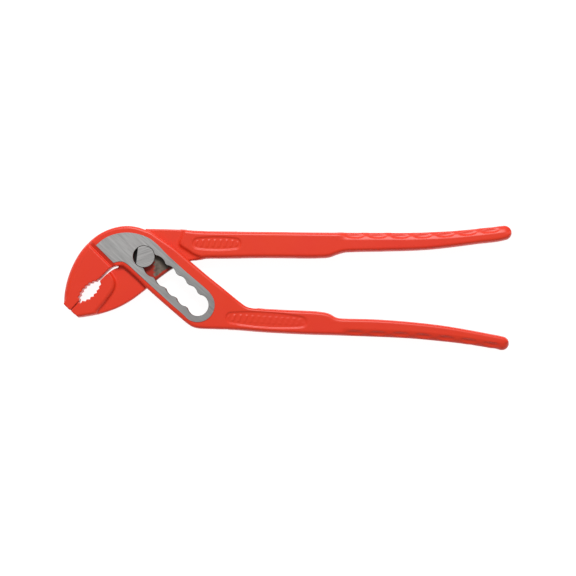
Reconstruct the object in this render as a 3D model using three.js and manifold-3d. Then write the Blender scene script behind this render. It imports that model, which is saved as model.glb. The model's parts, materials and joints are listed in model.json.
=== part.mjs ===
// Tongue and groove pliers of the 250 mm class, in millimetres.
//
// Two forged arms cross at a box joint. The slotted arm is the upper jaw, a limb with a channel
// through its thickness, and the lower handle. The inner arm is the lower jaw, a thin neck that
// passes through the channel, and the upper handle. A pin with a flat on one side holds the neck
// in one of six seats of the slot.
//
// Frame: the pin's axis is Z, z = 0 is the joint's back face, +X runs towards the handle ends and
// +Y towards the upper handle. The jaws are closed and the pin is in the first seat.
import * as THREE from 'three';
import { mergeVertices } from 'three/addons/utils/BufferGeometryUtils.js';
import Module from 'manifold-3d';

const wasm = await Module();
wasm.setup();

// ---- Thicknesses. Both forgings are symmetric about the plane z = MID. ----
const JOINT_THICKNESS = 11.5;
const RIM_THICKNESS = 10.7;
const JAW_THICKNESS = 9.5;
const HANDLE_THICKNESS = 8;
const NECK_THICKNESS = 4.8;
const CHANNEL_THICKNESS = 5.1;
const MID = JOINT_THICKNESS / 2;
const TALL = 2 * JOINT_THICKNESS;

// ---- Slot and pin ----
const SEATS = 6;
const PITCH = 8.05;
const SLOT_DIRECTION = -42;
const SEAT_RADIUS = 6.15;
const CUSP_HALF_WIDTH = 5.1;
const PIN_RADIUS = 5.82;
const PIN_FLAT = 3.77;
const FLAT_DIRECTION = 174;
const CORE_RADIUS = 4.6;
const NECK_BORE_RADIUS = 4.75;
const PIN_END_THICKNESS = 0.8;
const REBATE_DEPTH = 0.9;
const CORE_END_GAP = 0.1;
const GROUND_RING_RADIUS = 9.5;
const CHANNEL_END_RADIUS = 16.4;

// ---- Jaws ----
const TOOTH_DEPTH = 0.9;
const TOOTH_PITCH = 10.8;
const TEETH = 7;

// ---- Grips and label recesses ----
const GRIP_END_RADIUS = 3.85;
const FLUTES = 7;
const FIRST_FLUTE_X = 117;
const FLUTE_PITCH = 12.7;
const FLUTE_RADIUS = 14;
const FLUTE_DEPTH = 0.8;
const FLUTE_TILT = 12;
const RECESS_DEPTH = 0.4;
const RECESS_WIDTH = 6.4;

// ---- Edge bevels ----
const FORGED_EDGE = 0.6;
const GROUND_EDGE = 0.2;

const RED = { color: 0xd8321f, roughness: 0.35, metalness: 0 };
const STEEL = { color: 0x9a9a98, roughness: 0.4, metalness: 1 };

// ---- Plane curves: each returns a list of [x, y] points ----

const radians = (degrees) => degrees * Math.PI / 180;

const polar = (radius, degrees, [x, y] = [0, 0]) =>
  [x + radius * Math.cos(radians(degrees)), y + radius * Math.sin(radians(degrees))];

function arc(centre, radius, from, to, steps) {
  return Array.from({ length: steps + 1 }, (_, i) => polar(radius, from + (to - from) * i / steps, centre));
}

function curve(points, steps) {
  const knots = points.map(([x, y]) => new THREE.Vector3(x, y, 0));
  const spline = new THREE.CatmullRomCurve3(knots, false, 'centripetal');
  return spline.getPoints(steps).map((p) => [p.x, p.y]);
}

// A closed outline from runs of points laid end to end, without repeated points.
function outline(...runs) {
  const points = runs.flat().map(([x, y]) => new THREE.Vector2(x, y));
  return new THREE.Shape(points.filter((p, i) => p.distanceTo(points.at(i - 1)) > 0.1));
}

const seatCentre = (index) => polar(PITCH * index, SLOT_DIRECTION);

// ---- Solids ----

function solid(geometry) {
  geometry.deleteAttribute('normal');
  geometry.deleteAttribute('uv');
  const merged = mergeVertices(geometry, 1e-4);
  return new wasm.Manifold(new wasm.Mesh({
    numProp: 3,
    vertProperties: merged.attributes.position.array,
    triVerts: new Uint32Array(merged.index.array),
  }));
}

// A plate of the given outline from z = low to z = high, with both rims bevelled inwards by edge.
function plate(shape, low, high, edge = 0) {
  const geometry = new THREE.ExtrudeGeometry(shape, {
    depth: high - low - 2 * edge,
    bevelEnabled: edge > 0,
    bevelSize: edge,
    bevelThickness: edge,
    bevelOffset: -edge,
    bevelSegments: 1,
  });
  geometry.translate(0, 0, low + edge);
  return solid(geometry);
}

function centredPlate(shape, thickness, edge) {
  return plate(shape, MID - thickness / 2, MID + thickness / 2, edge);
}

function joined(...solids) {
  return solids.reduce((sum, next) => sum.add(next));
}

function part(name, body, { color, roughness, metalness }) {
  const { vertProperties, triVerts } = body.getMesh();
  const geometry = new THREE.BufferGeometry();
  geometry.setAttribute('position', new THREE.BufferAttribute(new Float32Array(vertProperties), 3));
  geometry.setIndex(new THREE.BufferAttribute(new Uint32Array(triVerts), 1));
  geometry.computeVertexNormals();
  const mesh = new THREE.Mesh(geometry, new THREE.MeshStandardMaterial({ color, roughness, metalness }));
  mesh.name = name;
  return mesh;
}

// ---- Outlines that the two arms share: the mouth between the jaws ----

const TIP_LEFT = [-44.8, -26.3];
const TIP_RIGHT = [-36.8, -33.6];
const LENS_TIP_END = [-36.2, -25.0];
const SLIT_START = [-25.4, -12.7];
const UPPER_BITE = { centre: [-23.7, -26.1], radius: 12.6, from: 103 };
const LOWER_BITE = { centre: [-37.6, -11.7], radius: 13.2, from: -11 };

// A saw-toothed arc from the throat towards the tip. Each tooth has a short steep flank, on the
// throat side of its crest when lean is positive, and a long one on the other side.
function teeth({ centre, radius, from }, direction, lean) {
  const points = [];
  for (let i = 0; i < TEETH; i += 1) {
    const crest = from + direction * TOOTH_PITCH * i;
    const root = crest - direction * TOOTH_PITCH * lean;
    const pair = [polar(radius + TOOTH_DEPTH, root, centre), polar(radius, crest, centre)];
    points.push(...(lean > 0 ? pair : pair.reverse()));
  }
  return points;
}

// The lens-shaped bite between the jaws, toothed on both sides.
function biteOutline() {
  const upper = teeth(UPPER_BITE, 1, 0.25);
  const lower = teeth(LOWER_BITE, -1, -0.3);
  return outline([SLIT_START], upper, [LENS_TIP_END, [-35.2, -26.0]], lower.reverse(), [[-24.4, -13.6]]);
}

const bite = () => centredPlate(biteOutline(), TALL);

// ---- The outer edge of each handle, from its end to the joint ----

const NECK_TOP = [0.7, 15.7];

const UPPER_GRIP_EDGE = curve([
  [200.7, 17.4], [187.7, 15.9], [177.6, 14.9], [167.5, 14.2], [150, 13.5], [130.7, 13.5], [103.8, 13.6],
  [77, 13.9], [50.2, 14.2], [33, 14.5], [25, 14.9], [18, 15.3], NECK_TOP,
], 44);

const LOWER_GRIP_EDGE = curve([
  [198.7, -51.8], [187.7, -49.9], [177.6, -48.4], [167.5, -47.2], [147.4, -45.4], [127.3, -44.5],
  [108, -43.8], [90.4, -43.3], [67, -42.1], [50.2, -40.8], [33, -40.2],
], 40);

// ---- Slotted arm ----

function slottedArmOutline() {
  const head = curve([
    TIP_LEFT, [-44.5, -20.5], [-43, -12.8], [-39.8, -4.2], [-34.8, 4.1], [-28.1, 10.8], [-21.4, 14.8],
    [-14.6, 16.9], [-8.5, 17.4], [-3, 16.5], [3.5, 14.2],
  ], 40);
  const limbTop = curve([
    [3.5, 14.2], [10, 9.9], [18, 4.3], [25.5, -2.1], [36.8, -11.6], [50.2, -22.2],
  ], 16);
  const handleTop = curve([
    [50.2, -22.2], [53.7, -24.9], [57.5, -27.4], [63.6, -28.5], [80, -29.5], [97.1, -30.4], [103, -31.5],
    [107.4, -33.8], [112, -34.3], [127.3, -34.7], [147.4, -36.1], [167.5, -38.4], [187.7, -41.9],
    [200.2, -44.4],
  ], 40);
  const end = arc([199.4, -48.1], GRIP_END_RADIUS, 78, -100, 12);
  const limbBottom = curve([
    [33, -40.2], [29.4, -39.9], [26.3, -38.9], [21, -34.8], [10, -25.4], [1.3, -17.6], [-4, -12.3],
  ], 20);
  const throat = curve([
    [-4, -12.3], [-10, -7.0], [-12.4, -5.3], [-15.2, -4.9], [-18.4, -6.0], SLIT_START,
  ], 20);
  return outline(head, limbTop, handleTop, end, LOWER_GRIP_EDGE, limbBottom, throat, [[-41.0, -29.9]]);
}

// The stretch of the slotted arm that is as thick as its jaw.
const headZone = () => outline([[-60, -60], [30, -60], [30, 30], [-60, 30]]);

// The stretch of it around the slot that is as thick as its painted rim.
const rimZone = () => outline([
  [-36, 12.2], [-17.6, -4.7], [-12, -20], [22, -48], [46, -48], [49, -36], [52, -10], [10, 30], [-30, 30],
]);

function groundFaceOutline() {
  const top = curve([
    [-26.7, 6.3], [-23, 9.4], [-19.2, 11.5], [-14.6, 12.9], [-10, 13.4], [-6, 13.1], [-1, 11.9],
    [4.5, 9.2], [13.8, 0.3], [24, -8.9], [33.3, -16.8], [36, -19.3],
  ], 36);
  const last = seatCentre(SEATS - 1);
  const ring = arc(last, GROUND_RING_RADIUS, 40, -128, 20);
  const bottom = curve([
    [23.6, -33.9], [13.2, -24.6], [4, -16.2], [-3.9, -9.1], [-9, -4.4], [-11.6, -2.9], [-14, -2.8],
    [-16.9, -3.5],
  ], 20);
  return outline(top, ring, bottom);
}

// The channel that the neck of the inner arm passes through. Its upper end is an arc about the
// first seat, and its lower end leaves room for the neck at every angle in the last seat.
function channelOutline() {
  const upperEnd = arc([0, 0], CHANNEL_END_RADIUS, 142, 250, 24);
  return outline(upperEnd, [
    [-14, -24], [14, -48], [46.6, -48], [46.6, -39.5], [45.4, -34.4],
    [55.2, -29.8], [59, -29.0], [63, -28.7], [66, -20], [40, 30], [-5.6, 20.2],
  ]);
}

// Six seats in a row. The cusps between them are blunt.
function slotOutline() {
  const cusp = THREE.MathUtils.radToDeg(Math.asin(CUSP_HALF_WIDTH / SEAT_RADIUS));
  const lower = [];
  const upper = [];
  for (let i = 0; i < SEATS; i += 1) {
    const first = i === 0 ? 180 : 180 - cusp;
    const last = i === SEATS - 1 ? 0 : cusp;
    upper.push(...arc(seatCentre(i), SEAT_RADIUS, SLOT_DIRECTION + first, SLOT_DIRECTION + last, 12));
    lower.push(...arc(seatCentre(i), SEAT_RADIUS, SLOT_DIRECTION - first, SLOT_DIRECTION - last, 12));
  }
  return outline(upper, lower.reverse());
}

// The shallow straight-sided track, sunk into both ground faces, that the pin's ends run in.
function trackOutline() {
  const last = seatCentre(SEATS - 1);
  return outline(
    arc([0, 0], SEAT_RADIUS, SLOT_DIRECTION - 90, SLOT_DIRECTION - 270, 24),
    arc(last, SEAT_RADIUS, SLOT_DIRECTION + 90, SLOT_DIRECTION - 90, 24),
  );
}

// ---- Inner arm ----

const NECK_BOTTOM = [-14.9, -6.0];

function innerArmOutline() {
  const jawBottom = curve([
    TIP_RIGHT, [-34.8, -33.4], [-28.1, -32.3], [-21.4, -30.6], [-14.6, -28], [-7.9, -24.3], [-1, -19.2],
    [6.5, -12.9], [15, -6.7], [20.5, -3.8], [25.3, -2.1], [33.4, -0.9],
  ], 36);
  const handleBottom = curve([
    [33.4, -0.9], [50, -0.6], [67, -0.4], [84, -0.5], [98, -0.5], [103, -0.1], [107.6, 1.5],
    [112, 2.7], [118, 3], [137.4, 3.4], [157.5, 4.2], [177.6, 6.4], [201.8, 9.8],
  ], 36);
  const end = arc([201.2, 13.6], GRIP_END_RADIUS, -80, 97, 12);
  const throat = curve([NECK_BOTTOM, [-17.6, -7.1], [-20.4, -9.4], [-24.4, -13.1]], 8);
  return outline(jawBottom, handleBottom, end, UPPER_GRIP_EDGE, throat, [LENS_TIP_END, [-40.8, -30.2]]);
}

// The lower jaw is thick on the tip side of a curved shoulder.
function jawZone() {
  const shoulder = curve([
    [-22, -4], [-18.3, -9.4], [-16, -13.6], [-16.5, -17.9], [-20.1, -23.6], [-25.8, -30.7], [-30, -37],
  ], 24);
  return outline(shoulder, [[-50, -37], [-50, -4]]);
}

// The upper handle is thick beyond a shoulder that stays clear of the limb in every seat.
function handleZone() {
  const shoulder = curve([
    [23, 19], [21.7, 14.9], [19, 7.2], [20.2, 5.4], [23.9, 3], [27.3, 0.8], [30.5, -0.4], [36, -1.6],
  ], 24);
  return outline(shoulder, [[215, -10], [215, 24]]);
}

// ---- Details that both handles share ----

// The height at x of an edge whose points run towards smaller x.
function heightOn(edge, x) {
  const i = edge.findIndex((point) => point[0] < x);
  const [x0, y0] = edge[i];
  const [x1, y1] = edge[i - 1];
  return y0 + (y1 - y0) * (x - x0) / (x1 - x0);
}

// A run of shallow scoops along an outer grip edge, each deepest at the flat faces and
// running out before mid thickness. side is +1 for the upper handle's edge and -1 for the lower's.
function flutes(edge, side) {
  const cutters = [];
  const reach = FLUTE_RADIUS / Math.cos(radians(FLUTE_TILT));
  for (let i = 0; i < FLUTES; i += 1) {
    const x = FIRST_FLUTE_X + FLUTE_PITCH * i;
    const y = heightOn(edge, x) + side * (reach - FLUTE_DEPTH);
    for (const face of [-1, 1]) {
      const geometry = new THREE.CylinderGeometry(FLUTE_RADIUS, FLUTE_RADIUS, TALL, 64);
      geometry.rotateX(Math.PI / 2 + side * face * radians(FLUTE_TILT));
      geometry.translate(x, y, MID + face * HANDLE_THICKNESS / 2);
      cutters.push(solid(geometry));
    }
  }
  return joined(...cutters);
}

// A sunken panel with round ends on both flat faces of a handle.
function labelRecess(start, end) {
  const direction = THREE.MathUtils.radToDeg(Math.atan2(end[1] - start[1], end[0] - start[0]));
  const shape = outline(
    arc(start, RECESS_WIDTH / 2, direction + 90, direction + 270, 12),
    arc(end, RECESS_WIDTH / 2, direction - 90, direction + 90, 12),
  );
  const face = HANDLE_THICKNESS / 2 - RECESS_DEPTH;
  return joined(plate(shape, MID + face, MID + TALL), plate(shape, MID - TALL, MID - face));
}

// ---- The pieces ----

function slottedArm() {
  const silhouette = slottedArmOutline();
  const forging = joined(
    centredPlate(silhouette, HANDLE_THICKNESS, FORGED_EDGE),
    centredPlate(silhouette, JAW_THICKNESS, FORGED_EDGE).intersect(centredPlate(headZone(), TALL)),
    centredPlate(silhouette, RIM_THICKNESS, FORGED_EDGE).intersect(centredPlate(rimZone(), TALL)),
    centredPlate(groundFaceOutline(), JOINT_THICKNESS, GROUND_EDGE),
  );
  const track = trackOutline();
  return forging
    .subtract(centredPlate(channelOutline(), CHANNEL_THICKNESS))
    .subtract(centredPlate(slotOutline(), TALL))
    .subtract(plate(track, -1, REBATE_DEPTH))
    .subtract(plate(track, JOINT_THICKNESS - REBATE_DEPTH, JOINT_THICKNESS + 1))
    .subtract(bite())
    .subtract(flutes(LOWER_GRIP_EDGE, -1))
    .subtract(labelRecess([48.6, -34.0], [87.4, -36.4]));
}

function innerArm() {
  const silhouette = innerArmOutline();
  const forging = joined(
    centredPlate(silhouette, NECK_THICKNESS, FORGED_EDGE),
    centredPlate(silhouette, JAW_THICKNESS, FORGED_EDGE).intersect(centredPlate(jawZone(), TALL)),
    centredPlate(silhouette, HANDLE_THICKNESS, FORGED_EDGE).intersect(centredPlate(handleZone(), TALL)),
  );
  const bore = outline(arc([0, 0], NECK_BORE_RADIUS, 0, 352.5, 47));
  return forging
    .subtract(centredPlate(bore, TALL))
    .subtract(bite())
    .subtract(flutes(UPPER_GRIP_EDGE, 1))
    .subtract(labelRecess([30, 7.5], [50.8, 7.4]));
}

// The round middle of the pin.
function pinCore() {
  const low = PIN_END_THICKNESS + CORE_END_GAP;
  const round = outline(arc([0, 0], CORE_RADIUS, 0, 352.5, 47));
  return plate(round, low, JOINT_THICKNESS - low, GROUND_EDGE);
}

// One D-shaped end of the pin, flush with a ground face.
function pinEnd(low) {
  const half = THREE.MathUtils.radToDeg(Math.acos(PIN_FLAT / PIN_RADIUS));
  const round = arc([0, 0], PIN_RADIUS, FLAT_DIRECTION + half, FLAT_DIRECTION + 360 - half, 40);
  return plate(outline(round), low, low + PIN_END_THICKNESS);
}

const pliers = new THREE.Group();
pliers.add(
  part('slotted_arm', slottedArm(), RED),
  part('inner_arm', innerArm(), RED),
  part('pin_core', pinCore(), STEEL),
  part('pin_end_front', pinEnd(JOINT_THICKNESS - PIN_END_THICKNESS), STEEL),
  part('pin_end_back', pinEnd(0), STEEL),
);

export default pliers;
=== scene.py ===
"""Tongue and groove pliers: two red forgings, the ground steel faces of the joint, and its pin.

Each forging is a field that is negative inside the metal. The field is made from sections of the
frame's own nodes, so the shapes follow the frame, and is meshed by surface nets. Lengths in this
script are millimetres in the object's frame, and are turned into metres when a mesh is made.
"""
import json
import math

import bpy
import numpy as np
from mathutils import Matrix, Vector

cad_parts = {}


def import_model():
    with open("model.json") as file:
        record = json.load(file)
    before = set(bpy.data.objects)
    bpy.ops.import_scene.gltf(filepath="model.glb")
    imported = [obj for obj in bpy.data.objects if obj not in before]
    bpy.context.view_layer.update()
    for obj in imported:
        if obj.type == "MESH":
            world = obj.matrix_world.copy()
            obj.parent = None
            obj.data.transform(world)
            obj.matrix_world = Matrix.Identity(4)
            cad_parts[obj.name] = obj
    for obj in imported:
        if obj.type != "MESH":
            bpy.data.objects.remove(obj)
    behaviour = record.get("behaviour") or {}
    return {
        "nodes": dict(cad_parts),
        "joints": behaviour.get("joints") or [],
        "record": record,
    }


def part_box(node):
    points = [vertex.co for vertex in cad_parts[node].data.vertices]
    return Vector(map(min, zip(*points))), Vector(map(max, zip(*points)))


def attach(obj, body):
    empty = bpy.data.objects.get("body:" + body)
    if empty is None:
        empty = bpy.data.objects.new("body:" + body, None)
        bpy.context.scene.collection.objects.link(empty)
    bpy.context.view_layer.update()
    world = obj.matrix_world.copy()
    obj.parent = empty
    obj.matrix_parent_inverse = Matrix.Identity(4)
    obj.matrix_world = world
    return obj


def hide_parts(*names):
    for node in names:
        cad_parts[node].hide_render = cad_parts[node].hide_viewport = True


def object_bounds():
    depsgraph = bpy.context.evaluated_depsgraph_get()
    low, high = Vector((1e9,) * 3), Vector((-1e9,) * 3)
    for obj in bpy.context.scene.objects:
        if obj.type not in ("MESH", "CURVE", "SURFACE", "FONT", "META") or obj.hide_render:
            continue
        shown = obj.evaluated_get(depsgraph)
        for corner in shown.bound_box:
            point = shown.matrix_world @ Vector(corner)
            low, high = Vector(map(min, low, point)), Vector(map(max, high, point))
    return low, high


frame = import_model()
frame_low, frame_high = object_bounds()

MM = 0.001

# ---- Sizes that come from the frame. The other half thicknesses are shares of the joint's. ----
JOINT_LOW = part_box("slotted_arm")[0].z / MM
JOINT_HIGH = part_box("slotted_arm")[1].z / MM
MID = (JOINT_LOW + JOINT_HIGH) / 2
HALF_JOINT = (JOINT_HIGH - JOINT_LOW) / 2
HALF_JAW = (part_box("inner_arm")[1].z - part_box("inner_arm")[0].z) / MM / 2
HALF_NECK = 0.417 * HALF_JOINT
HALF_CHANNEL = 0.443 * HALF_JOINT
HALF_RIM = 0.93 * HALF_JOINT
HALF_HANDLE = 0.696 * HALF_JOINT
SLIP_AXIS = next(joint["axis"] for joint in frame["joints"] if joint["type"] == "slide")
OPENINGS = {opening["name"]: opening["box_m"] for opening in frame["record"]["physics"]["openings"]}
MOUTH_CENTRE = np.mean(OPENINGS["jaw_mouth"], axis=0)[:2] / MM
BETWEEN_HANDLES = (frame_low.y + frame_high.y) / 2 / MM

# ---- The line where the jaws meet, from the tip to the throat, with sharp edges beside it ----
MOUTH_ANGLE = math.radians(45.7)
TIP_REACH = 15.1
THROAT_REACH = 17.75
MOUTH_NEAR = 4.0
MOUTH_FAR = 7.0

# ---- Where the stretches of the forgings start or end, along X ----
JAW_END = -32.0
LIMB_START = -22.0
INNER_HANDLE_START = 16.0
SLOTTED_HANDLE_START = 42.0
SLOTTED_HANDLE_FULL = 54.0
FLUTED_START = 90.0
GRIP_START = 108.0
GRIP_FULL = 114.0

# ---- Grids: fine over the head, coarse along the handles, with distances exact up to REACH. ----
# ---- An outline's turns of more than SHARP_TURN stay sharp. ----
FINE = 0.32
COARSE = 0.7
HEAD_END = 60.0
MARGIN = 1.5
REACH = 7.0
SHARP_TURN = math.radians(25)

# ---- Where outlines are read: depths under a ground face and a handle's face, and heights ----
UNDER_GROUND_EDGE = 0.3
UNDER_PANEL_EDGE = 0.2
IN_SLOT_WALL = MID - HALF_JOINT / 2
ABOVE_NECK = MID + 0.5 * (HALF_NECK + HALF_HANDLE)

# ---- Edges: roundings, and drafts as the lean for each millimetre from mid thickness ----
CRISP = 0.3
FULLNESS = 0.22
LIMB_ROUNDING = 1.4
HEAD_ROUNDING = 3.0
HANDLE_ROUNDING = 1.3
GRIP_ROUNDING = 2.0
HEAD_DRAFT = 0.12
HANDLE_DRAFT = 0.25
GRIP_DRAFT = 0.22
DRAFT_CHANGE = 15.0
NECK_ROUNDING = 0.6
JAW_ROUNDING = 1.4
STEP_ROUNDING = 0.5
SHOULDER_FILLET = 0.9
JAW_SHOULDER_SLOPE = 0.3
HANDLE_SHOULDER_SLOPE = 0.8
NEAR_OUTLINE = 0.9

# ---- Grips: a row of lens-shaped scoops along each outer edge ----
SCOOPS = 7
FIRST_SCOOP = 117.5
SCOOP_PITCH = 12.6
SCOOP_LENGTH = 9.4
SCOOP_DEPTH = 0.65
SCOOP_RADIUS = 2.0
SCOOP_ANGLE = 68.0
GRIP_SLOPE = 0.3
GRIP_SLOPE_WIDTH = 4.0
OUTER_BLEND = 1.0

# ---- Label panels: a sunken field with raised slanted bars ----
PANEL_DEPTH = 0.45
BAR_HEIGHT = 0.24
BAR_PITCH = 3.3
BAR_WIDTH = 1.3
BAR_SLANT = 0.3
BAR_REACH = 2.0
SOFT = 0.25

# ---- Ground faces, the valley beside them, and the pin, which is PIN_FIT times the frame's ----
GROUND_BEVEL = 0.1
GROUND_DEPTH = 0.75
SLOT_LINING = 0.1
VALLEY_WIDTH = 2.2
VALLEY_DEPTH = 1.0
PIN_FIT = 1.02

# ---- How bare the slot's walls are and their painted shade, partly oil; the neck seen through the slot: rubbed wear, a painted shadow by the pin, and painted shade ----
SLOT_BARE = 0.5
# Darkening of the slot's walls: painted shade, with some real oil.
SLOT_SHADE_AND_OIL = 0.75
# A painted shadow: the neck is painted black in the deep gap beside the pin.
PIN_SHADOW_SPOT = (-2.2, 0.6)
# Painted shade on the neck behind the slot, more towards the slot's upper-right wall.
POCKET_SHADE_LEAST = 0.5
POCKET_SHADE_MORE = 0.4
OVER_NECK = 0.3

# ---- Where those zones fade in: each is 0 at its first number and 1 at its second ----
SLOT_INSET = (0.2, 0.8)
SLOT_VIEW = (9.5, 7.5)
PIN_SHADOW_RADII = (6.6, 5.6)
RUBBED_FROM = (3.9, 7.0)
RUBBED_INSET = (0.9, 2.2)
POCKET_SHADE_ACROSS = (1.0, 6.0)
POCKET_SHADE_ALONG = (-6.0, 0.0)

# ---- Colours, as linear red, green, blue and alpha ----
RED = (0.775, 0.036, 0.014, 1)
ORANGE_RED = (0.785, 0.043, 0.012, 1)
# Paint darkened by painted shade and shadow in the slot and the gap by the pin, with some oil on the
# slot's walls.
PAINTED_SHADE_RED = (0.03, 0.0006, 0.0006, 1)
DARK_METAL = (0.20, 0.14, 0.11, 1)
RUBBED_METAL = (0.48, 0.40, 0.32, 1)
# Painted shadow: black metal in the deep gap by the pin, and painted shade on the slot's walls.
PAINTED_SHADOW_BLACK = (0.004, 0.003, 0.003, 1)
STEEL = (0.42, 0.42, 0.415, 1)
BRIGHT_STEEL = (0.53, 0.53, 0.52, 1)
# Painted reflection: warm patches where the ground steel mirrors the red paint.
RED_REFLECTION_STEEL = (0.46, 0.41, 0.41, 1)
SHADED_STEEL = (0.24, 0.22, 0.22, 1)
FLOOR_GREY = (0.16, 0.16, 0.16, 1)
FLOOR_PALE = (0.18, 0.18, 0.18, 1)
WHITE = (1, 1, 1, 1)


# ---- Plane geometry ----

def merged(node):
    """The points in millimetres and the triangles of a CAD node, without doubled points."""
    mesh = frame["nodes"][node].data
    mesh.calc_loop_triangles()
    points = np.array([v.co for v in mesh.vertices]) / MM
    triangles = np.array([t.vertices for t in mesh.loop_triangles])
    unique, place = np.unique(np.round(points, 3), axis=0, return_inverse=True)
    return unique, place.reshape(-1)[triangles]


def section(node, height):
    """The closed loops where a CAD node crosses the plane z = height, the largest first."""
    points, triangles = merged(node)
    above = points[:, 2] > height
    onward = {}
    where = {}
    for triangle in triangles:
        ends = {}
        for p, q in zip(triangle, np.roll(triangle, -1)):
            if above[p] == above[q]:
                continue
            key = (min(p, q), max(p, q))
            share = (height - points[p, 2]) / (points[q, 2] - points[p, 2])
            where[key] = points[p, :2] + share * (points[q, :2] - points[p, :2])
            ends[bool(above[q])] = key
        if ends:
            onward[ends[True]] = ends[False]
    return sorted(chained(onward, where), key=area, reverse=True)


def chained(onward, where):
    """The closed loops of points that come from following each crossing on to the next."""
    loops = []
    while onward:
        start, key = onward.popitem()
        chain = [start]
        while key != start:
            chain.append(key)
            key = onward.pop(key)
        loops.append(without_straight_points(np.array([where[k] for k in chain])))
    return loops


def without_straight_points(loop, tolerance=0.005):
    """Leaves out the points that lie on the line from the last kept point to the next point."""
    loop = np.roll(loop, -loop[:, 0].argmin(), 0)
    kept = [loop[0]]
    for point, after in zip(loop[1:], np.roll(loop, -1, 0)[1:]):
        chord = after - kept[-1]
        offset = point - kept[-1]
        height = abs(chord[0] * offset[1] - chord[1] * offset[0])
        if height > tolerance * math.hypot(*chord):
            kept.append(point)
    return np.array(kept)


def area(loop):
    after = np.roll(loop, -1, 0)
    return abs(np.sum(loop[:, 0] * after[:, 1] - loop[:, 1] * after[:, 0])) / 2


def smooth(loop, step=0.5):
    """A curve through the points of a loop, with its sharp turns left sharp."""
    come = loop - np.roll(loop, 1, 0)
    go = np.roll(loop, -1, 0) - loop
    come_length = np.hypot(*come.T)[:, None]
    go_length = np.hypot(*go.T)[:, None]
    come = come / come_length
    go = go / go_length
    sharp = (come * go).sum(1, keepdims=True) < math.cos(SHARP_TURN)
    tangent = come * go_length + go * come_length
    tangent = tangent / np.hypot(*tangent.T)[:, None]
    leaving = np.where(sharp, go, tangent)
    arriving = np.roll(np.where(sharp, come, tangent), -1, 0)
    following = np.roll(loop, -1, 0)
    runs = []
    for start, end, out, into, length in zip(loop, following, leaving, arriving, go_length[:, 0]):
        count = max(1, math.ceil(length / step))
        t = (np.arange(count) / count)[:, None]
        runs.append(
            (2 * t**3 - 3 * t**2 + 1) * start + (3 * t**2 - 2 * t**3) * end
            + (t**3 - 2 * t**2 + t) * length * out + (t**3 - t**2) * length * into
        )
    return np.concatenate(runs)


def segments(*loops):
    return np.concatenate([np.hstack([loop, np.roll(loop, -1, 0)]) for loop in loops])


class Plane:
    """A grid of points in the XY plane, finer over the head than along the handles."""

    def __init__(self, low, high):
        head = np.arange(low[0] - MARGIN, HEAD_END, FINE)
        handles = np.arange(head[-1] + COARSE, high[0] + MARGIN, COARSE)
        self.xs = np.concatenate([head, handles])
        self.ys = np.arange(low[1] - MARGIN, high[1] + MARGIN, FINE)
        self.x = self.xs[:, None]
        self.y = self.ys[None, :]

    def nearest(self, lines):
        """The distance of each grid point from the nearest segment, up to REACH."""
        near = np.full((len(self.xs), len(self.ys)), REACH)
        for x0, y0, x1, y1 in lines:
            i = slice(*np.searchsorted(self.xs, (min(x0, x1) - REACH, max(x0, x1) + REACH)))
            j = slice(*np.searchsorted(self.ys, (min(y0, y1) - REACH, max(y0, y1) + REACH)))
            px = self.x[i] - x0
            py = self.y[:, j] - y0
            dx = x1 - x0
            dy = y1 - y0
            t = np.clip((px * dx + py * dy) / (dx * dx + dy * dy), 0, 1)
            near[i, j] = np.minimum(near[i, j], np.hypot(px - t * dx, py - t * dy))
        return near

    def covered(self, lines):
        """Which grid points lie inside closed loops of segments."""
        inside = np.zeros((len(self.xs), len(self.ys)), bool)
        for x0, y0, x1, y1 in lines:
            rows = (self.ys > min(y0, y1)) & (self.ys <= max(y0, y1))
            crossing = x0 + (self.ys[rows] - y0) * (x1 - x0) / (y1 - y0 or 1)
            inside[:, rows] ^= self.x > crossing
        return inside

    def signed(self, lines):
        near = self.nearest(lines)
        return np.where(self.covered(lines), -near, near)

    def at(self, values, points):
        """The values of a grid at the grid points nearest to some points."""
        i = np.clip(np.searchsorted(self.xs, points[:, 0]), 0, len(self.xs) - 1)
        j = np.clip(np.searchsorted(self.ys, points[:, 1]), 0, len(self.ys) - 1)
        return values[i, j]


def ramp(value, start, end):
    """0 before start, 1 after end, and a smooth step between them."""
    t = np.clip((value - start) / (end - start), 0, 1)
    return t * t * (3 - 2 * t)


def rounded(side, face, radius):
    """The inside of both side and face, with the edge between them rounded."""
    u = side + radius
    v = face + radius
    return np.minimum(np.maximum(u, v), 0) + np.hypot(np.maximum(u, 0), np.maximum(v, 0)) - radius


def filleted(a, b, width):
    """The inside of a or b, with a fillet where they meet."""
    share = np.clip(0.5 + 0.5 * (b - a) / width, 0, 1)
    return b * (1 - share) + a * share - width * share * (1 - share)


# ---- Meshing ----

CORNERS = [(i, j, k) for i in (0, 1) for j in (0, 1) for k in (0, 1)]


def cell_points(field, cells, axes):
    """For each cell, the mean of the points where the surface crosses the cell's edges."""
    total = np.zeros((len(cells), 3))
    count = np.zeros((len(cells), 1))
    for axis in range(3):
        for corner in CORNERS:
            if corner[axis] == 1:
                continue
            start = cells + corner
            end = start.copy()
            end[:, axis] += 1
            f0 = field[tuple(start.T)]
            f1 = field[tuple(end.T)]
            cut = (f0 < 0) != (f1 < 0)
            share = np.where(cut, f0 / np.where(cut, f0 - f1, 1), 0)
            point = np.stack([axes[a][start[:, a]] for a in range(3)], 1)
            step = axes[axis][end[:, axis]] - axes[axis][start[:, axis]]
            point[:, axis] += share * step
            total += np.where(cut[:, None], point, 0)
            count += cut[:, None]
    return total / count


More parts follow.
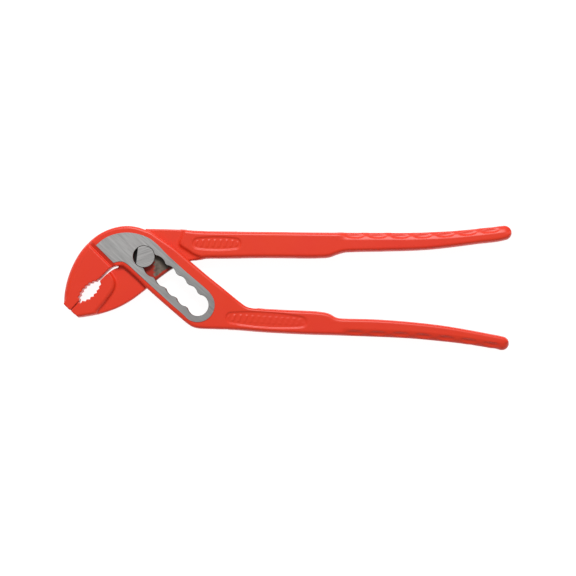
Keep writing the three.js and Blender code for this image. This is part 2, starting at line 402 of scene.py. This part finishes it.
def edge_quads(inside, number):
    """For each grid edge that the surface crosses, the points of the four cells round it."""
    quads = []
    for axis in range(3):
        across, up = (axis + 1) % 3, (axis + 2) % 3
        low = [slice(None)] * 3
        high = [slice(None)] * 3
        low[axis] = slice(None, -1)
        high[axis] = slice(1, None)
        first = inside[tuple(low)]
        edges = np.argwhere(first != inside[tuple(high)])
        leaving = first[tuple(edges.T)]
        ring = []
        for da, du in ((0, 0), (-1, 0), (-1, -1), (0, -1)):
            cell = edges.copy()
            cell[:, across] += da
            cell[:, up] += du
            ring.append(number[tuple(cell.T)])
        quad = np.stack(ring, 1)
        quads.append(np.where(leaving[:, None], quad, quad[:, ::-1]))
    return np.concatenate(quads)


def surface_nets(field, xs, ys, zs):
    """Quads on the zero surface of a field: one point in each cell that the surface crosses."""
    inside = field < 0
    corner_sum = np.zeros(np.array(field.shape) - 1, np.int8)
    nx, ny, nz = corner_sum.shape
    for i, j, k in CORNERS:
        corner_sum += inside[i:i + nx, j:j + ny, k:k + nz]
    cells = np.argwhere((corner_sum > 0) & (corner_sum < 8))
    number = np.full(corner_sum.shape, -1, np.int64)
    number[tuple(cells.T)] = np.arange(len(cells))
    return cell_points(field, cells, (xs, ys, zs)), edge_quads(inside, number)


def mesh_of(name, points, quads, bare, dark):
    """A smooth-shaded mesh in metres that keeps how bare and how dark each of its points is."""
    mesh = bpy.data.meshes.new(name)
    mesh.from_pydata((points * MM).tolist(), [], quads.tolist())
    mesh.shade_smooth()
    for title, values in (("bare", bare), ("dark", dark)):
        attribute = mesh.attributes.new(title, "FLOAT", "POINT")
        attribute.data.foreach_set("value", values.astype(np.float32))
    mesh.update()
    return mesh


def slab(name, loops, low, high, bevel):
    """A flat plate with the first loop as its outline and the others as holes, with fine bevels."""
    curve = bpy.data.curves.new(name, "CURVE")
    curve.dimensions = "2D"
    curve.fill_mode = "BOTH"
    curve.extrude = ((high - low) / 2 - bevel) * MM
    curve.bevel_depth = bevel * MM
    curve.bevel_resolution = 0
    curve.offset = -bevel * MM
    for loop in loops:
        spline = curve.splines.new("POLY")
        spline.points.add(len(loop) - 1)
        for point, (x, y) in zip(spline.points, loop):
            point.co = (x * MM, y * MM, 0, 1)
        spline.use_cyclic_u = True
    holder = bpy.data.objects.new(name, curve)
    bpy.context.scene.collection.objects.link(holder)
    graph = bpy.context.evaluated_depsgraph_get()
    mesh = bpy.data.meshes.new_from_object(holder.evaluated_get(graph))
    bpy.data.objects.remove(holder)
    mesh.materials.clear()
    mesh.transform(Matrix.Translation((0, 0, (low + high) / 2 * MM)))
    mesh.shade_smooth()
    mesh.set_sharp_from_angle(angle=SHARP_TURN)
    return mesh


def piece(name, mesh, material, body, nodes=()):
    """Puts a mesh in the scene as a piece that rides a body and stands for CAD nodes."""
    thing = bpy.data.objects.new(name, mesh)
    bpy.context.scene.collection.objects.link(thing)
    mesh.materials.append(material)
    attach(thing, body)
    if nodes:
        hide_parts(*nodes)
    return thing


# ---- Shapes that both forgings share ----

def heights():
    """The grid heights, and the distance of each from mid thickness."""
    zs = np.arange(JOINT_LOW - 2 * FINE, JOINT_HIGH + 3 * FINE, FINE)
    return zs, np.abs(zs - MID)[None, None, :]


def outer_side(plane, side, sign):
    """1 on the outer half of a handle and 0 on its inner half, from the middle of each column."""
    inside = (side < 0) & (sign * (plane.y - BETWEEN_HANDLES) > 0)
    amount = inside.sum(1, keepdims=True)
    middle = (inside * plane.y).sum(1, keepdims=True) / np.maximum(amount, 1)
    return ramp(sign * (plane.y - middle), -OUTER_BLEND, OUTER_BLEND)


def away_from_mouth(plane):
    """0 beside the line where the jaws meet, which stays crisp, and 1 away from it."""
    x = plane.x - MOUTH_CENTRE[0]
    y = plane.y - MOUTH_CENTRE[1]
    along = x * math.cos(MOUTH_ANGLE) + y * math.sin(MOUTH_ANGLE)
    past_end = along - np.clip(along, -TIP_REACH, THROAT_REACH)
    across = y * math.cos(MOUTH_ANGLE) - x * math.sin(MOUTH_ANGLE)
    return ramp(np.hypot(past_end, across), MOUTH_NEAR, MOUTH_FAR)


def along_handle(plane):
    """0 over the head, and 1 from where the slotted arm has its handle's full shape."""
    return ramp(plane.x, SLOTTED_HANDLE_START, SLOTTED_HANDLE_FULL)


def along_grip(plane):
    """0 before the grips, and 1 along them."""
    return ramp(plane.x, GRIP_START, GRIP_FULL)


def grip_zone(plane, side, sign):
    """1 on the outer half of the grip, and 0 elsewhere."""
    return along_grip(plane) * outer_side(plane, side, sign)


def forged_side(plane, side, distance, start):
    """The drafted sides of a forging, a little fuller than the frame's away from the mouth."""
    full = side - FULLNESS * away_from_mouth(plane)
    return full[:, :, None] + edge_draft(plane, start)[:, :, None] * distance


def edge_draft(plane, start):
    """How far the forged side leans in for each millimetre from mid thickness."""
    draft = HEAD_DRAFT * away_from_mouth(plane)
    draft = draft + (HANDLE_DRAFT - draft) * ramp(plane.x, start, start + DRAFT_CHANGE)
    return draft + (GRIP_DRAFT - draft) * along_grip(plane)


def grip_slope(plane, side, sign):
    """How far the face of a grip falls towards its outer edge."""
    fall = GRIP_SLOPE * np.clip(side + GRIP_SLOPE_WIDTH, 0, GRIP_SLOPE_WIDTH)
    return fall * grip_zone(plane, side, sign)


def edge_rounding(plane, side, sign):
    """The rounding radius of the forged edge at each point of the plane."""
    radius = HEAD_ROUNDING + (LIMB_ROUNDING - HEAD_ROUNDING) * ramp(plane.x, JAW_END, LIMB_START)
    radius = radius + (HANDLE_ROUNDING - radius) * along_handle(plane)
    radius = radius + (GRIP_ROUNDING - radius) * grip_zone(plane, side, sign)
    return CRISP + (radius - CRISP) * away_from_mouth(plane)


def scooped(field, plane, side, distance, sign):
    """Cuts the row of grip scoops into the rounding of the outer edge."""
    outer = outer_side(plane, side, sign) > 0.5
    angle = math.radians(SCOOP_ANGLE)
    surface_in = GRIP_ROUNDING * (math.cos(angle) - 1)
    edge_height = HALF_HANDLE - GRIP_SLOPE * (GRIP_SLOPE_WIDTH + surface_in)
    surface_up = edge_height + GRIP_ROUNDING * (math.sin(angle) - 1)
    index = np.clip(np.round((plane.x - FIRST_SCOOP) / SCOOP_PITCH), 0, SCOOPS - 1)
    offset = (plane.x - FIRST_SCOOP - SCOOP_PITCH * index) / (SCOOP_LENGTH / 2)
    depth = SCOOP_DEPTH * (1 - offset**2)
    shift = SCOOP_RADIUS - depth
    centre_in = (surface_in + shift * math.cos(angle))[:, :, None]
    centre_up = (surface_up + shift * math.sin(angle))[:, :, None]
    drafted = side[:, :, None] - FULLNESS + GRIP_DRAFT * distance
    cut = SCOOP_RADIUS - np.hypot(drafted - centre_in, distance - centre_up)
    return np.where(outer[:, :, None], np.maximum(field, cut), field)


def panel_loop(node):
    """The outline of the label panel in a handle's face, which is the smallest loop there."""
    return section(node, MID + HALF_HANDLE - UNDER_PANEL_EDGE)[-1]


def panel_relief(plane, loop):
    """Height change of a handle face for a label panel: a sunken field with slanted bars."""
    spread = np.hypot(*(loop[:, None] - loop[None]).transpose(2, 0, 1))
    first, last = loop[list(np.unravel_index(spread.argmax(), spread.shape))]
    along = (last - first) / np.hypot(*(last - first))
    centre = loop.mean(0)
    u = (plane.x - centre[0]) * along[0] + (plane.y - centre[1]) * along[1]
    v = (plane.y - centre[1]) * along[0] - (plane.x - centre[0]) * along[1]
    distance = plane.signed(segments(smooth(loop)))
    sunk = ramp(-distance, -SOFT, 2 * SOFT)
    phase = (u - BAR_SLANT * v) % BAR_PITCH - BAR_PITCH / 2
    bar = ramp(BAR_WIDTH / 2 - np.abs(phase), -SOFT, SOFT) * ramp(BAR_REACH - np.abs(v), -SOFT, SOFT)
    clear_of_edge = ramp(-distance, BAR_WIDTH, BAR_WIDTH + 2 * SOFT)
    return BAR_HEIGHT * bar * clear_of_edge - PANEL_DEPTH * sunk


# ---- Slotted arm ----

silhouette, slot_loop = section("slotted_arm", IN_SLOT_WALL)[:2]
slot_loop = smooth(slot_loop, step=0.3)
ground_loop = smooth(section("slotted_arm", JOINT_HIGH - UNDER_GROUND_EDGE)[0])


def ground_shoulder(plane):
    """Distance from the straight end of the ground face, towards the upper jaw."""
    return (ground_loop.sum(1).min() - (plane.x + plane.y)) / math.sqrt(2)


def slotted_face(plane, side):
    """Half the slotted arm's thickness: the limb's rim, a valley, the jaw, and the handle."""
    beyond = ground_shoulder(plane)
    valley = HALF_JAW - VALLEY_DEPTH
    face = HALF_RIM + (valley - HALF_RIM) * np.clip(beyond / VALLEY_WIDTH, 0, 1)
    face = face + VALLEY_DEPTH * ramp(beyond, VALLEY_WIDTH, VALLEY_WIDTH + VALLEY_DEPTH)
    face = face + (HALF_HANDLE - face) * along_handle(plane)
    face = face + panel_relief(plane, panel_loop("slotted_arm"))
    return face - grip_slope(plane, side, -1)


def slotted_arm_mesh():
    """The whole arm: a drafted, rounded plate, less the channel and the slot."""
    node_low, node_high = (np.array(c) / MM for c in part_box("slotted_arm"))
    plane = Plane(node_low, node_high)
    zs, distance = heights()
    head_side = plane.signed(segments(smooth(silhouette)))
    mid_side = plane.signed(segments(*map(smooth, section("slotted_arm", MID))))
    side = np.where(plane.x > FLUTED_START, mid_side, head_side)

    drafted = forged_side(plane, side, distance, SLOTTED_HANDLE_START)
    radius = edge_rounding(plane, side, -1)[:, :, None]
    field = rounded(drafted, distance - slotted_face(plane, side)[:, :, None], radius)
    field = scooped(field, plane, side, distance, -1)
    channel = np.minimum(mid_side[:, :, None], HALF_CHANNEL - distance)
    field = np.maximum(field, channel)
    slot_side = plane.signed(segments(slot_loop))
    field = np.maximum(field, -slot_side[:, :, None] - SLOT_LINING)

    points, quads = surface_nets(field, plane.xs, plane.ys, zs)
    # The slot's walls: bare metal, darkened with painted shade that is partly oil.
    within = ramp(-plane.at(plane.signed(segments(ground_loop)), points), *SLOT_INSET)
    return mesh_of("slotted_arm_forging", points, quads, SLOT_BARE * within, SLOT_SHADE_AND_OIL * within)


# ---- Inner arm ----

def shoulder_side(plane, silhouette_side, loop):
    """Signed distance from the inner stretch of a thick zone's outline: negative in the zone."""
    curve = smooth(loop)
    lines = segments(curve)
    inner = plane.at(silhouette_side, lines[:, :2]) < -NEAR_OUTLINE
    near = plane.nearest(lines[inner])
    return np.where(plane.covered(lines), -near, near)


def inner_arm_mesh():
    """The thin neck along the whole arm, joined to a thicker jaw and a thicker handle."""
    node_low, node_high = (np.array(c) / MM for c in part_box("inner_arm"))
    plane = Plane(node_low, node_high)
    zs, distance = heights()
    outline = smooth(section("inner_arm", MID)[0])
    side = plane.signed(segments(outline))
    zones = section("inner_arm", ABOVE_NECK)
    handle_zone, jaw_zone = zones[:2]
    jaw_shoulder = shoulder_side(plane, side, jaw_zone)[:, :, None]
    handle_shoulder = shoulder_side(plane, side, handle_zone)[:, :, None]

    radius = edge_rounding(plane, side, 1)[:, :, None]
    drafted = forged_side(plane, side, distance, INNER_HANDLE_START)

    neck = rounded(drafted, distance - HALF_NECK, NECK_ROUNDING)
    above_neck = distance - HALF_NECK
    jaw_side = np.maximum(drafted, jaw_shoulder + JAW_SHOULDER_SLOPE * above_neck)
    jaw = rounded(jaw_side, distance - HALF_JAW, np.minimum(radius, JAW_ROUNDING))
    panel = panel_relief(plane, panel_loop("inner_arm"))
    face = (HALF_HANDLE + panel - grip_slope(plane, side, 1))[:, :, None]
    handle_step = handle_shoulder + HANDLE_SHOULDER_SLOPE * above_neck
    handle = rounded(drafted, distance - face, radius)
    handle = np.maximum(handle, rounded(handle_step, distance - face, STEP_ROUNDING))
    handle = scooped(handle, plane, side, distance, 1)
    field = filleted(neck, np.minimum(jaw, handle), SHOULDER_FILLET)

    points, quads = surface_nets(field, plane.xs, plane.ys, zs)
    return mesh_of("inner_arm_forging", points, quads, *neck_wear_and_shade(points, plane.at(side, points)))


def neck_wear_and_shade(points, side):
    """How bare and how dark the neck is: a painted shadow, black, by the pin; rubbed bare beyond it;
    painted shade behind the slot.
    """
    x, y, z = points.T
    slot_angle = math.atan2(SLIP_AXIS[1], SLIP_AXIS[0])
    across = y * math.cos(slot_angle) - x * math.sin(slot_angle)
    behind_slot = ramp(np.abs(across), *SLOT_VIEW) * (np.abs(z - MID) < HALF_NECK + OVER_NECK)
    # Painted shadow in the deep gap by the pin.
    pin_gap_shadow = ramp(np.hypot(x - PIN_SHADOW_SPOT[0], y - PIN_SHADOW_SPOT[1]), *PIN_SHADOW_RADII) * behind_slot
    rubbed = ramp(x, *RUBBED_FROM) * ramp(-side, *RUBBED_INSET) * behind_slot
    # Painted shade behind the slot, darker towards its upper-right wall.
    pocket_shade = (POCKET_SHADE_LEAST + POCKET_SHADE_MORE * ramp(across, *POCKET_SHADE_ACROSS)) * behind_slot * ramp(x, *POCKET_SHADE_ALONG)
    return np.maximum(pin_gap_shadow, rubbed), np.maximum(pin_gap_shadow, pocket_shade)


# ---- Materials ----

class Nodes:
    """A new material's node tree, with short ways to add and join nodes."""

    def __init__(self, name):
        self.material = bpy.data.materials.new(name)
        self.material.use_nodes = True
        self.tree = self.material.node_tree
        self.shader = self.tree.nodes["Principled BSDF"]
        self.coordinates = self.add("ShaderNodeTexCoord").outputs["Object"]

    def add(self, kind, **inputs):
        node = self.tree.nodes.new(kind)
        for name, value in inputs.items():
            self.set(node.inputs[name.replace("_", " ")], value)
        return node

    def set(self, socket, value):
        if isinstance(value, bpy.types.NodeSocket):
            self.tree.links.new(value, socket)
        else:
            socket.default_value = value

    def noise(self, scale, detail=3.0, stretch=None, turn=0.0):
        """Noise of about scale features a metre, drawn out by stretch along a turned X axis."""
        vector = self.coordinates
        if stretch:
            mapping = self.add("ShaderNodeMapping", Vector=self.coordinates)
            mapping.vector_type = "TEXTURE"
            mapping.inputs["Rotation"].default_value = (0, 0, math.radians(turn))
            mapping.inputs["Scale"].default_value = (stretch, 1, 1)
            vector = mapping.outputs["Vector"]
        return self.add("ShaderNodeTexNoise", Vector=vector, Scale=scale, Detail=detail).outputs["Fac"]

    def range(self, value, low, high, start=0.3, end=0.7):
        """Turns a value that runs from start to end into one that runs from low to high."""
        node = self.add("ShaderNodeMapRange", Value=value)
        node.inputs["From Min"].default_value = start
        node.inputs["From Max"].default_value = end
        node.inputs["To Min"].default_value = low
        node.inputs["To Max"].default_value = high
        return node.outputs["Result"]

    def mix(self, share, a, b):
        node = self.tree.nodes.new("ShaderNodeMix")
        node.data_type = "RGBA"
        self.set(node.inputs["Factor"], share)
        self.set(node.inputs["A"], a)
        self.set(node.inputs["B"], b)
        return node.outputs["Result"]

    def attribute(self, name):
        node = self.add("ShaderNodeAttribute")
        node.attribute_name = name
        return node.outputs["Fac"]

    def sum(self, a, b):
        node = self.add("ShaderNodeMath")
        self.set(node.inputs[0], a)
        self.set(node.inputs[1], b)
        return node.outputs["Value"]

    def bump(self, height, strength, distance):
        node = self.add("ShaderNodeBump", Height=height, Strength=strength, Distance=distance)
        return node.outputs["Normal"]


def red_paint():
    """Red paint over forged steel, worn to brown metal where the arms rub, and darkened by the dark
    attribute: painted shade and shadow in the slot and by the pin, with some oil on the slot's walls.
    """
    nodes = Nodes("red_paint")
    bare = nodes.attribute("bare")
    dark = nodes.attribute("dark")
    patch = nodes.range(nodes.noise(45), 0, 1)
    paint = nodes.mix(patch, RED, ORANGE_RED)
    # The dark attribute paints shade and shadow into the paint.
    paint = nodes.mix(dark, paint, PAINTED_SHADE_RED)
    grime = nodes.range(nodes.noise(420, 4.0), 0, 1)
    metal = nodes.mix(grime, DARK_METAL, RUBBED_METAL)
    # The same painted shade on bare metal, black for the painted shadow by the pin.
    metal = nodes.mix(dark, metal, PAINTED_SHADOW_BLACK)
    uneven = nodes.sum(bare, nodes.range(nodes.noise(900, 5.0), -0.35, 0.35))
    worn = nodes.range(uneven, 0, 1, 0.35, 0.65)
    nodes.set(nodes.shader.inputs["Base Color"], nodes.mix(worn, paint, metal))
    nodes.set(nodes.shader.inputs["Specular IOR Level"], 0.25)
    nodes.set(nodes.shader.inputs["Coat Weight"], 0.25)
    nodes.set(nodes.shader.inputs["Coat Roughness"], 0.38)
    nodes.set(nodes.shader.inputs["Metallic"], nodes.range(worn, 0, 0.4, 0, 1))
    nodes.set(nodes.shader.inputs["Roughness"], nodes.range(nodes.noise(160), 0.36, 0.42))
    nodes.set(nodes.shader.inputs["Normal"], nodes.bump(nodes.noise(900, 2.0), 0.05, 0.0001))
    return nodes.material


def ground_steel(name, turn):
    """Ground steel that darkens along X, with a fine grain that runs turn degrees from X."""
    nodes = Nodes(name)
    streaks = nodes.noise(3600, 4.0, stretch=40, turn=turn)
    patches = nodes.noise(90, 3.0, stretch=2.5, turn=turn)
    tone = nodes.mix(nodes.range(streaks, 0, 1), STEEL, BRIGHT_STEEL)
    # Warm patches at random: a painted reflection of the red paint.
    tone = nodes.mix(nodes.range(patches, 0, 0.35), tone, RED_REFLECTION_STEEL)
    along = nodes.add("ShaderNodeSeparateXYZ", Vector=nodes.coordinates).outputs["X"]
    tone = nodes.mix(nodes.range(along, 0, 0.5, -0.005, 0.045), tone, SHADED_STEEL)
    nodes.set(nodes.shader.inputs["Base Color"], tone)
    nodes.set(nodes.shader.inputs["Metallic"], 1.0)
    nodes.set(nodes.shader.inputs["Roughness"], nodes.range(streaks, 0.34, 0.5))
    nodes.set(nodes.shader.inputs["Normal"], nodes.bump(streaks, 0.15, 0.00005))
    return nodes.material


# ---- The pieces ----

PIN_GRAIN_TURN = 60

paint = red_paint()
grain = math.degrees(math.atan2(SLIP_AXIS[1], SLIP_AXIS[0]))
face_steel = ground_steel("ground_steel", grain)
pin_steel = ground_steel("pin_steel", grain + PIN_GRAIN_TURN)

piece("slotted_arm_forging", slotted_arm_mesh(), paint, "slotted_arm", ["slotted_arm"])
piece("inner_arm_forging", inner_arm_mesh(), paint, "inner_arm", ["inner_arm"])

for name, low, high in (
    ("ground_face_front", JOINT_HIGH - GROUND_DEPTH, JOINT_HIGH),
    ("ground_face_back", JOINT_LOW, JOINT_LOW + GROUND_DEPTH),
):
    mesh = slab(name, [ground_loop, slot_loop], low, high, GROUND_BEVEL)
    piece(name, mesh, face_steel, "slotted_arm")

pin_loop = PIN_FIT * smooth(section("pin_end_front", JOINT_HIGH - UNDER_GROUND_EDGE)[0])
pin_mesh = slab("joint_pin", [pin_loop], JOINT_LOW, JOINT_HIGH, GROUND_BEVEL)
piece("joint_pin", pin_mesh, pin_steel, "inner_arm",
      ["pin_end_front", "pin_end_back", "pin_core"])


# ---- Floor, light and camera ----

# In metres. VIEW_WIDTH is what the picture's width shows at the object's centre.
CENTRE = (frame_low + frame_high) / 2
LENGTH = (frame_high - frame_low).length
VIEW_WIDTH = 0.3219
LENS = 100.0
SENSOR = 36.0
TILT = math.radians(2.5)
FLOOR_GAP = 0.0003
FLOOR_REACH = 40 * LENGTH


def floor():
    """A white floor just under the object, which gives off light to stay white beside it."""
    mesh = bpy.data.meshes.new("floor")
    low = frame_low.z - FLOOR_GAP
    signs = ((-1, -1), (1, -1), (1, 1), (-1, 1))
    corners = [(i * FLOOR_REACH, j * FLOOR_REACH, low) for i, j in signs]
    mesh.from_pydata(corners, [], [(0, 1, 2, 3)])
    thing = bpy.data.objects.new("floor", mesh)
    bpy.context.scene.collection.objects.link(thing)
    nodes = Nodes("floor")
    tone = nodes.mix(nodes.range(nodes.noise(3), 0, 1), FLOOR_GREY, FLOOR_PALE)
    nodes.set(nodes.shader.inputs["Base Color"], tone)
    nodes.set(nodes.shader.inputs["Roughness"], 0.8)
    nodes.set(nodes.shader.inputs["Emission Color"], WHITE)
    nodes.set(nodes.shader.inputs["Emission Strength"], 0.95)
    mesh.materials.append(nodes.material)


def area_light(name, place, size, power):
    """A square soft light that faces the middle of the object."""
    data = bpy.data.lights.new(name, "AREA")
    data.size = size
    data.energy = power
    thing = bpy.data.objects.new(name, data)
    thing.location = CENTRE + Vector(place) * LENGTH
    thing.rotation_euler = (-Vector(place)).to_track_quat("-Z", "Y").to_euler()
    bpy.context.scene.collection.objects.link(thing)


def world(strength):
    """Even light from all around."""
    surroundings = bpy.data.worlds.new("studio")
    surroundings.use_nodes = True
    background = surroundings.node_tree.nodes["Background"]
    background.inputs["Color"].default_value = WHITE
    background.inputs["Strength"].default_value = strength
    bpy.context.scene.world = surroundings


def camera():
    """A long lens, almost straight above the object, with +Y upwards in the picture."""
    data = bpy.data.cameras.new("camera")
    data.lens = LENS
    data.sensor_width = SENSOR
    data.clip_start = 0.01
    data.clip_end = 20.0
    thing = bpy.data.objects.new("camera", data)
    distance = VIEW_WIDTH * LENS / SENSOR
    thing.location = CENTRE + distance * Vector((0, -math.sin(TILT), math.cos(TILT)))
    thing.rotation_euler = (TILT, 0, 0)
    bpy.context.scene.collection.objects.link(thing)
    bpy.context.scene.camera = thing


floor()
area_light("key", place=(0.0, 3.2, 3.8), size=1.6 * LENGTH, power=13.5)
world(strength=0.36)
camera()
bpy.context.scene.view_settings.view_transform = "Standard"
